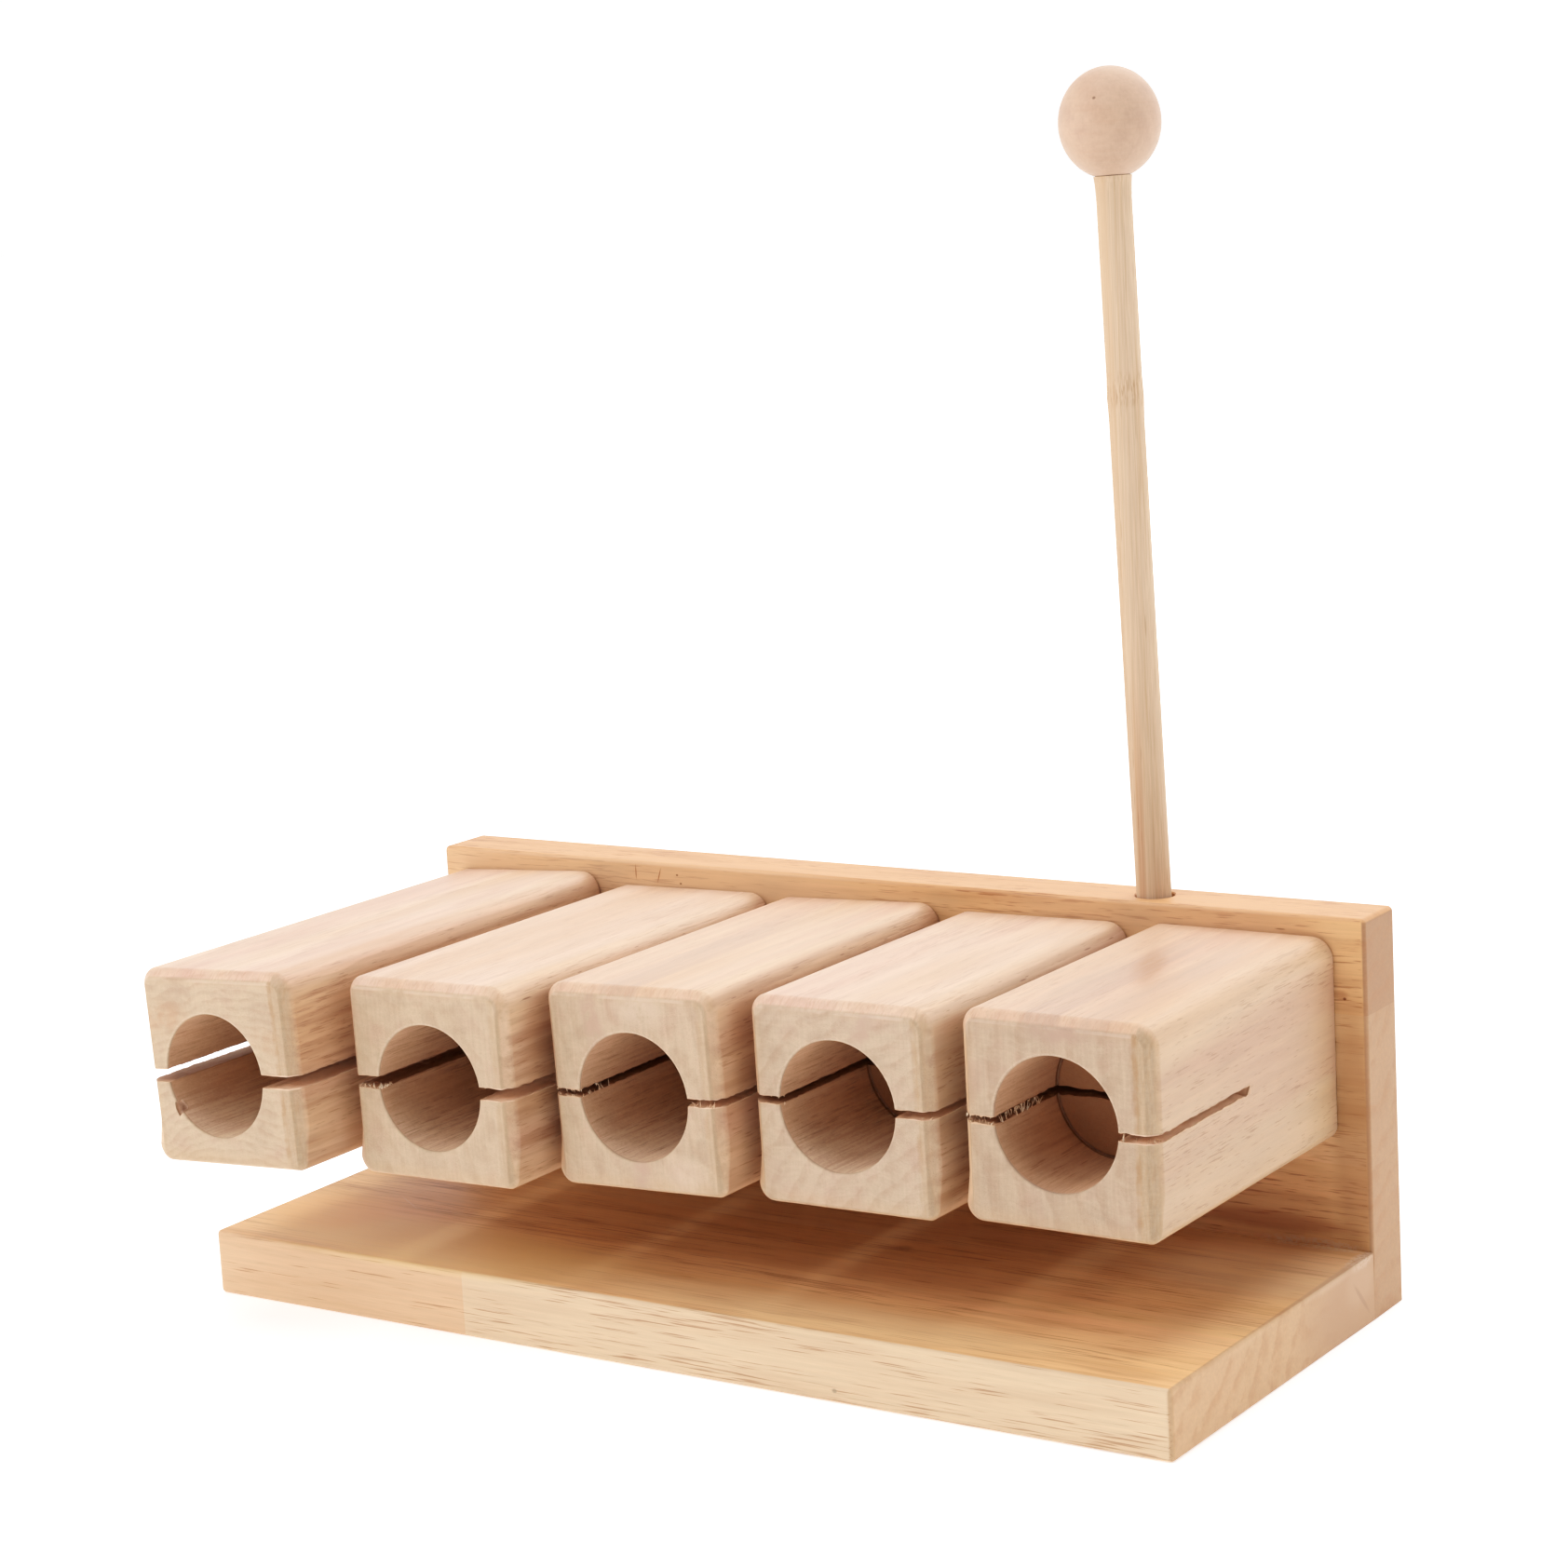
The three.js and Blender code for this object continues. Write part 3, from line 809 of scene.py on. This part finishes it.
def block_wood(number, block, seat, length):
    wood = BlockWood(number, block, seat)
    wood.long_grain()
    wood.top_and_right_side()
    along = wood.colour
    wood.front_end()
    wood.colour = wood.mix(wood.front * 0.85, along, wood.colour)
    wood.front_edges()
    wood.cut_walls(length)
    if number == 1:
        wood.notch()
    wood.bore_bottom()
    return wood.surface()


def fibre_finish():
    """Pale splinters, never sanded."""
    wood = Finish("torn_fibre_wood")
    wood.place()
    cloud = wood.pattern((0.6, 0.6, 0.6), 3, 0.6)
    fine = wood.pattern((5, 5, 2), 3, 0.7)
    wood.colour = wood.blend(cloud, (222, 178, 138), (246, 214, 178), (255, 236, 210), low=0.35, high=0.65)
    wood.wash(fine * 0.32 + 0.84)
    return wood.done(fine, 0.02, 0.6, Roughness=fine * 0.3 + 0.5, Specular_IOR_Level=0.3)


def board_wood(name, seed, width, vessel_cut, staves, faces, marks):
    """Golden, lacquered rubberwood in staves.

    In the material X is backwards, Y runs to the right along the grain and Z is up. Width is the axis
    across the staves, where they start and how far they go, and a stave's place is a share of that.
    A face has an axis, a place on it and a colour, and then an axis and two ends if it is only a part.
    """
    wood = Finish(name)
    spots = x, y, _ = wood.place(turn=(0, 0, -90))
    axis, start, whole = width
    share = (spots[axis] - start) / whole
    moves = wood.ramp(share, [(place, (*move, 1)) for place, move, _ in staves], "CONSTANT")
    tints = wood.ramp(share, [(place, (*tint, 1)) for place, _, tint in staves], "CONSTANT")
    far = wood.node("VectorMath", {0: moves, "Scale": 400}, operation="SCALE").outputs[0]
    whole_board = wood.local
    wood.local = wood.shift(whole_board, far)

    end_grain = abs(y).rise(140.3, 140.9)
    late = wood.late_wood((30, -70), 8, 26, seed, 0.2)
    slow = wood.pattern((0.05, 0.005, 0.05), 3)
    streak = wood.pattern((0.22, 0.011, 0.22), 4, 0.62)
    fibre = wood.pattern((1.1, 0.035, 1.1), 5, 0.72)
    bias, fine_along = vessel_cut
    vessel = wood.vessels(2.1, fine_along, bias, seed) * (1 - end_grain)

    wood.colour = wood.blend(slow, (236, 182, 130), (248, 198, 147), (242, 187, 139))
    wood.wash(tints)
    for axis, place, colour, *part in faces:
        there = spots[axis].near(place, 0.6, 0.5)
        for along, low, high in part:
            there *= spots[along].near((low + high) / 2, (high - low) / 2, 0.05)
        wood.lay(colour, there * 0.85)
    calm = 1 - x.near(-FRONT_Y, 0.6, 0.5) * 0.65
    wood.lay((184, 126, 84), late * (end_grain * 0.06 + 0.26) * streak.rise(0.35, 0.6) * calm)
    wood.lay((182, 114, 66), streak.rise(0.52, 0.74) * (0.3 - end_grain * 0.26) * calm)
    wood.wash(fibre * 0.4 + 0.8)
    wood.lay((156, 86, 50), vessel * 0.55)
    ragged = wood.pattern((1.6, 0.9, 1.6), 3, 0.7, where=whole_board).rise(0.41, 0.54)
    for middle, half_sizes, colour, strength, *turn in marks:
        spot = wood.spot(Vector(middle) * MM, half_sizes, *turn)
        wood.lay(colour, (spot * ragged if colour == TORN else spot) * strength)
    return wood.done(fibre - vessel * 0.9, 0.03, 0.7, Roughness=fibre * 0.16 + 0.36, Specular_IOR_Level=0.22)


def bead_finish():
    """Turned wood: level bands from the tool, a soft mottle, and painted shade on its lower half."""
    wood = Finish("bead_wood")
    _, y, _ = wood.place(SOCKET * MM, (90, 0, 0))
    slow = wood.pattern((0.12, 0.12, 0.12))
    mottle = wood.pattern((0.7, 0.9, 0.7), 4, 0.65)
    fibre = wood.pattern((1.6, 0.4, 1.6), 4, 0.6)
    bands = wood.pattern((0.05, 1.4, 0.05), 3, 0.6)
    wood.colour = wood.blend(slow, (213, 173, 146), (218, 180, 153), (209, 171, 146))
    # Painted shade: darker on the lower half of the bead.
    wood.lay((199, 168, 143), y.fall(192, 203) * 0.6)
    wood.lay((208, 162, 134), bands.rise(0.45, 0.75) * 0.2)
    wood.wash(fibre * 0.16 + mottle * 0.24 + 0.8)
    wood.lay((110, 70, 46), wood.spot(Vector((78.6, 41.8, 296.5)) * MM, (0.6, 1.6, 0.5)) * 0.7)
    return wood.done(fibre + bands, 0.04, 0.7, Roughness=0.62, Specular_IOR_Level=0.35,
                     Sheen_Weight=0.2, Sheen_Roughness=0.5)


def bamboo_finish():
    """Bamboo without its skin: straight fine fibres, a node that was planed flush, and painted shade down
    its left side.
    """
    cane = Finish("bamboo")
    x, y, _ = cane.place(SOCKET * MM, (90, 0, 0))
    bundle = cane.pattern((1.3, 0.012, 1.3), 3, 0.6)
    fibre = cane.pattern((5, 0.05, 5), 3, 0.6)
    cane.colour = cane.blend(bundle, (215, 178, 143), (232, 201, 170), (220, 186, 154))
    cane.wash(fibre * 0.56 + 0.72)
    cane.lay((160, 110, 70), cane.pores(0.8, 16, 0.3, 5) * 0.4)
    cane.lay((192, 124, 84), x.near(-1.2, 0.7, 0.8) * y.fall(30, 80) * 0.35)
    # Painted shade: darker down the cane's left side.
    cane.lay((210, 168, 130), x.fall(-4.3, -3.1) * 0.35)
    ticks = cane.pattern((3.2, 0.22, 3.2), where=cane.shift(cane.local, (1.6, 0, 0))).rise(0.5, 0.62)
    cane.lay((168, 116, 74), y.near(CANE_NODE + 1.5, 2.5, 2.5) * ticks * 0.4)
    return cane.done(bundle + fibre, 0.05, 0.7, Roughness=0.68, Specular_IOR_Level=0.2)


def steel_finish():
    """Plain screw steel, a little scuffed."""
    steel = Finish("screw_steel")
    steel.place()
    scuff = steel.pattern((4, 0.4, 4), 3, 0.7)
    cloud = steel.pattern((0.5, 0.5, 0.5), 3)
    steel.colour = steel.blend(cloud, (204, 194, 178), (224, 216, 202))
    return steel.done(scuff, 0.01, 0.5, Metallic=1, Roughness=scuff * 0.2 + 0.26)


BASE_LOOKS = dict(
    seed=1.0,
    width=(0, -SEAT_Y, SEAT_Y - FRONT_Y),
    vessel_cut=(0.03, 0.05),
    staves=[
        (0.0, (0.1, 0.3, 0.2), (0.96, 0.98, 0.96)),
        (0.36, (0.5, 0.7, 0.1), (1, 1, 0.95)),
        (0.66, (0.8, 0.2, 0.6), (1.1, 1.11, 1.1)),
    ],
    faces=[
        (0, 61, (238, 209, 176), (1, -58, 141)),
        (0, 61, (235, 194, 158), (1, -142, -58)),
        (1, 141, (210, 168, 130)),
        (1, -141, (212, 170, 130)),
    ],
    marks=[
        # Painted light: paler pools on the base top at the front left and along the front, where light
        # reaches under the blocks.
        ((-76, -46, 17), (76, 24, 3), (255, 216, 158), 0.9),
        ((40, -50, 17), (90, 14, 3), (252, 214, 166), 0.5),
        ((141.6, 44, 8), (3, 52, 20), (200, 156, 122), 0.9),
        # Painted light on the base top: paler at the left end, and at the right end under and beside block
        # 5.
        ((-124, -34, 17), (26, 22, 3), (255, 196, 132), 0.7),
        ((124, 20, 17), (38, 26, 3), (238, 208, 176), 0.28),
        ((132, -22, 17), (24, 20, 3), (250, 214, 172), 0.15),
        ((126, 43.4, 17), (19, 2.4, 1.5), TORN, 0.5),
        ((140.6, 38, 17), (2.4, 9, 3.5), TORN, 0.6),
        ((141.8, 36, 12), (2, 10, 8), (218, 180, 148), 0.3),
        ((141.8, 37, 7.5), (1, 8, 0.9), (170, 128, 100), 0.4, (-48, 0, 0)),
        ((52.6, -61, 3), (0.9, 1, 0.7), GREY, 0.6),
        ((-108.6, -20.2, 17), (8.6, 0.35, 1), (248, 210, 168), 0.5, (0, 0, -33)),
        ((34.6, 0.9, 17), (3, 2, 1), DARK, 0.25),
    ],
)
BACK_LOOKS = dict(
    seed=2.0,
    width=(2, 0, BACK_TOP),
    vessel_cut=(0.035, 0.095),
    staves=[
        (0.0, (0.4, 0.1, 0.3), (1, 0.98, 0.94)),
        (0.38, (0.9, 0.6, 0.5), (1, 1, 1)),
        (0.76, (0.2, 0.8, 0.7), (0.98, 0.94, 0.9)),
    ],
    faces=[
        (1, 141.8, (184, 141, 108), (2, -1, 76.2)),
        (1, 141.8, (170, 124, 92), (2, 76.2, 101)),
        (1, -141.2, (196, 152, 114)),
        # Painted shade: the top face darker and more orange, toning down the strong light from above on it.
        (2, 100, (236, 176, 128)),
    ],
    marks=[
        ((115, 44, 22), (28, 1, 3.5), REDDISH, 0.5),
        # Painted shade: darker on the back board's front beside block 5's right side.
        ((138, 44, 45), (8, 1, 46), (176, 124, 84), 0.5),
        ((126, 44, 17.6), (17, 1.2, 1.6), TORN, 0.45),
        ((-70, 44, 96), (110, 1, 14), (247, 207, 172), 0.45),
        ((88, 44, 97), (60, 1, 9), (238, 192, 158), 0.35),
        ((-74, 44, 97), (0.25, 1, 2.6), REDDISH, 0.8),
        ((-66.2, 44, 96.5), (0.25, 1, 2.8), REDDISH, 0.8, (0, 18, 0)),
        ((-60.2, 44, 97), (0.5, 1, 0.35), DARK, 0.8),
        ((-59.1, 44, 94.7), (0.5, 1, 0.35), DARK, 0.8),
        ((86, 44, 93.6), (2.4, 1, 0.3), DARK, 0.7),
        ((119.6, 44, 96), (1.8, 1, 0.25), DARK, 0.6),
        ((136.1, 44, 80), (0.6, 1, 0.5), DARK, 0.9),
        ((134.5, 44, 81), (3.5, 1, 1.4), REDDISH, 0.45),
    ],
)


# Stand

def eased_board(low, high, thickness_axis, joined):
    """A board with rounded corners and edges, but for the edges that another board covers."""
    mesh = box(low, high)
    if thickness_axis == 1:
        slice_through(mesh, (0, 0, THICKNESS), (0, 0, 1))
    corners = [e for e in edges_along(mesh, thickness_axis)
               if not joined(e) and abs(middle_of(e).z - THICKNESS * MM) > MM]
    bevel(mesh, corners, CORNER_RADIUS, 4)
    rims = [e for side in (low, high) for e in edges_at(mesh, thickness_axis, side[thickness_axis])]
    sharp = [e for e in rims if not joined(e) and len(e.link_faces) == 2 and e.calc_face_angle(0) > 0.1]
    bevel(mesh, sharp, BOARD_EASE, 4)
    return mesh


def screw_places():
    """X and Z of each screw, from the screws' own solids."""
    places = {}
    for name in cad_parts:
        if "screw" in name:
            low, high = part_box(name)
            places[name] = ((low.x + high.x) / 2 / MM, (low.z + high.z) / 2 / MM)
    return places


SCREWS = screw_places()


def behind(edge):
    """The base board's edges that the back board covers."""
    return middle_of(edge).y > (SEAT_Y - 0.1) * MM


def under(edge):
    """The back board's edges that the base board covers, and its low end corners, flush with it."""
    spot = middle_of(edge) / MM
    at_end = abs(edge.verts[0].co.y - edge.verts[1].co.y) > MM and spot.z < MM
    return at_end or (spot.y < SEAT_Y + 0.1 and spot.z < THICKNESS + 0.1)


def base_piece(material):
    low, high = (-BASE_HALF_WIDTH, FRONT_Y, 0), (BASE_HALF_WIDTH, SEAT_Y, THICKNESS)
    mesh = eased_board(low, high, 2, behind)
    for vert in mesh.verts:
        if vert.co.y > (SEAT_Y - 0.1) * MM:
            vert.co.x = (LEFT_END if vert.co.x < 0 else RIGHT_END) * MM
    made = piece_of("stand_base", mesh, material)
    carve(made, [pilot_cutter(23, x, SEAT_Y, z) for name, (x, z) in SCREWS.items() if "base" in name])
    return soften(made)


def back_piece(material):
    mesh = eased_board((LEFT_END, SEAT_Y, 0), (RIGHT_END, BACK_Y, BACK_TOP), 1, under)
    made = piece_of("stand_back", mesh, material)
    top, mouth, past = SOCKET_DEPTH / 2, 0.3, 5
    hole = [(0, -top), (SOCKET_RADIUS, -top), (SOCKET_RADIUS, top - mouth), (SOCKET_RADIUS + mouth, top),
            (SOCKET_RADIUS + mouth, top + past), (0, top + past)]
    cutters = [piece_of("socket", placed(turned(hole, 64), at(*SOCKET)))]
    sink = 4.3
    room = [(0, -22), (PILOT_RADIUS, -22), (PILOT_RADIUS, -2.8), (sink, -0.7), (sink, past), (0, past)]
    cutters += [along_y(room, 32, x, BACK_Y, z) for x, z in SCREWS.values()]
    carve(made, cutters)
    return soften(made)


def screw_piece(name, x, z, material):
    """A countersunk wood screw with a cross in its head."""
    head = at(x, BACK_Y - SCREW_SINK, z)
    profile = [(0, -40), (0.5, -39.2), (1.9, -36), (1.9, -2.5), (3.85, -0.55), (4, -0.4), (4, -0.12),
               (3.88, 0), (0, 0)]
    mesh = placed(turned(profile, 48), head @ ALONG_Y)
    made = piece_of(name.replace("screw", "wood_screw"), mesh, material)
    wings = []
    for turn in (0, 90):
        wing = box((-2.2, -2.2, -0.55), (2.2, 2, 0.55))
        for vert in wing.verts:
            if vert.co.y < 0:
                vert.co.x *= 0.45
                vert.co.z *= 0.6
        wings.append(piece_of("wing", placed(wing, head @ turning(turn + 17 * x % 90, "Y"))))
    carve(made, wings)
    return soften(made, 30)


# Mallet, made along Z from half way down its hole

def mallet_piece(name, profile, steps, material):
    leaning = at(*SOCKET) @ Matrix.Rotation(-LEAN, 4, "Y")
    return soften(piece_of(name, placed(turned(profile, steps), leaning), material))


def stick_piece(material):
    """Bamboo, a hair thinner upwards, with a swelling at its node, a flare under the bead and a tenon."""
    ease, thinning, steps = 0.5, 0.03, 40
    profile = [(0, FOOT), (3.9, FOOT), (CANE_RADIUS, FOOT + ease)]
    for step in range(1, steps + 1):
        height = FOOT + ease + (CANE_TOP - 4 - FOOT - ease) * step / steps
        radius = CANE_RADIUS - thinning * (height - FOOT) / (CANE_TOP - FOOT)
        swell = math.exp(-((height - CANE_NODE) / 1.8) ** 2)
        profile.append((radius + 0.2 * swell, height))
    profile += [(4.48, CANE_TOP - 2), (4.7, CANE_TOP), (TENON_RADIUS, CANE_TOP),
                (TENON_RADIUS, TENON_TOP), (0, TENON_TOP)]
    return mallet_piece("mallet_cane", profile, 48, material)


def bead_piece(material):
    """A turned bead, a little taller than a ball, with a flat foot round the hole for the tenon."""
    hole, steps = 4.55, 40
    middle = BEAD_FOOT + BEAD_FLAT
    start = math.asin(-BEAD_FLAT / BEAD_HALF_HEIGHT)
    profile = [(0, BEAD_HOLE_TOP), (hole, BEAD_HOLE_TOP), (hole, BEAD_FOOT - 0.18)]
    for step in range(steps):
        angle = start + (math.pi / 2 - start) * step / steps
        profile.append((BEAD_RADIUS * math.cos(angle), middle + BEAD_HALF_HEIGHT * math.sin(angle)))
    profile.append((0, middle + BEAD_HALF_HEIGHT))
    return mallet_piece("mallet_bead", profile, 72, material)


# Put together

def dress(made, body, slot, *nodes):
    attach(made, body)
    if nodes:
        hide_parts(*nodes)


dress(base_piece(board_wood("base_wood", **BASE_LOOKS)), "stand", "stand_wood", "base_board")
dress(back_piece(board_wood("back_wood", **BACK_LOOKS)), "stand", "stand_wood", "back_board")
fibre_material = fibre_finish()
for number, block in enumerate(BLOCKS, 1):
    dress(block_piece(number, block), "stand", "block_wood", f"block_{number}")
    if block["torn"]:
        dress(torn_fibres(number, block, fibre_material), "stand", "block_wood")
screw_material = steel_finish()
for name, (x, z) in SCREWS.items():
    dress(screw_piece(name, x, z, screw_material), "stand", "screw_steel", name)
dress(stick_piece(bamboo_finish()), "mallet", "bamboo", "mallet_stick")
dress(bead_piece(bead_finish()), "mallet", "bead_wood", "mallet_head")


# Studio

LIGHT_DISTANCE = 1.6
LIT_POINT = Vector((0, 0, 0.05))

# Bearing and height in degrees, size in metres, and power. A bearing is 0 in front and grows rightwards.
SOFTBOXES = {
    "overhead": (0, 88, (1.4, 1.2), 17.6),
    "key": (-20, 45, (1.4, 1.0), 12.9),
    "left_fill": (-60, 15, (1.4, 0.9), 12.6),
    "right_fill": (100, 30, (1.0, 0.7), 6.6),
    "back_light": (180, 50, (1.0, 0.7), 7.2),
}


def studio_floor():
    """White paper that runs back to a backdrop with lights of its own."""
    mesh = bmesh.new()
    bmesh.ops.create_grid(mesh, x_segments=1, y_segments=1, size=30)
    bmesh.ops.translate(mesh, vec=(0, 0, -0.1 * MM), verts=mesh.verts)
    paper = Finish("white_paper")
    paper.colour = (0.94, 0.94, 0.94, 1)
    _, back, _ = paper.place()
    grain = paper.pattern((0.5, 0.5, 0.5), 3)
    glow = back.rise(300, 1600) * 1.3 + 0.52
    material = paper.done(grain, 0.02, 0.3, Roughness=0.9, Emission_Color=(1, 1, 1, 1),
                          Emission_Strength=glow)
    floor = piece_of("studio_floor", mesh, material)


def softbox(name, bearing, height, size, power):
    """A soft light that faces the lit point."""
    light = bpy.data.lights.new(name + "_softbox", "AREA")
    light.shape = "RECTANGLE"
    light.size, light.size_y = size
    light.energy = power
    made = shown(name + "_softbox", light)
    side, up = math.radians(bearing), math.radians(height)
    way = Vector((math.sin(side) * math.cos(up), -math.cos(side) * math.cos(up), math.sin(up)))
    made.location = way * LIGHT_DISTANCE + LIT_POINT
    made.rotation_euler = way.to_track_quat("Z", "Y").to_euler()


def studio_room():
    """White all round: the lit backdrop behind is bright, and the room on the camera's side is dimmer."""
    world = bpy.data.worlds.new("studio")
    room = Nodes(world)
    _, back, _ = room.axes(room.node("TexCoord", {}).outputs["Generated"])
    glow = back.rise(0.1, 0.75) * 1.4
    room.fill(room.tree.nodes["Background"], {"Color": (1, 1, 1, 1), "Strength": glow})
    bpy.context.scene.world = world


def printed_like_a_photograph():
    """Dark wood as the light makes it, middle tones lighter, and a soft shoulder up to white."""
    view = bpy.context.scene.view_settings
    view.view_transform = "Standard"
    view.use_curve_mapping = True
    print_curve = view.curve_mapping
    print_curve.white_level = (1.35, 1.35, 1.35)
    all_colours = print_curve.curves[3].points
    for light, printed in ((0.037, 0.037), (0.148, 0.184), (0.37, 0.478), (0.741, 0.841)):
        all_colours.new(light, printed)
    print_curve.update()


def studio_camera():
    """The photograph's viewing angle, with its heading, its look down and its slight roll."""
    camera = shown("camera", bpy.data.cameras.new("camera"))
    camera.data.lens = 79.363
    camera.data.sensor_width = 36
    camera.data.clip_start = 0.05
    camera.data.clip_end = 20
    heading, down, roll = 34.235, 10.158, -3.221
    camera.matrix_world = (
        Matrix.Translation((0.48217, -0.69900, 0.28517))
        @ turning(heading, "Z") @ turning(90 - down, "X") @ turning(roll, "Z")
    )
    bpy.context.scene.camera = camera


studio_floor()
for name, settings in SOFTBOXES.items():
    softbox(name, *settings)
studio_room()
printed_like_a_photograph()
studio_camera()

bpy.context.view_layer.update()
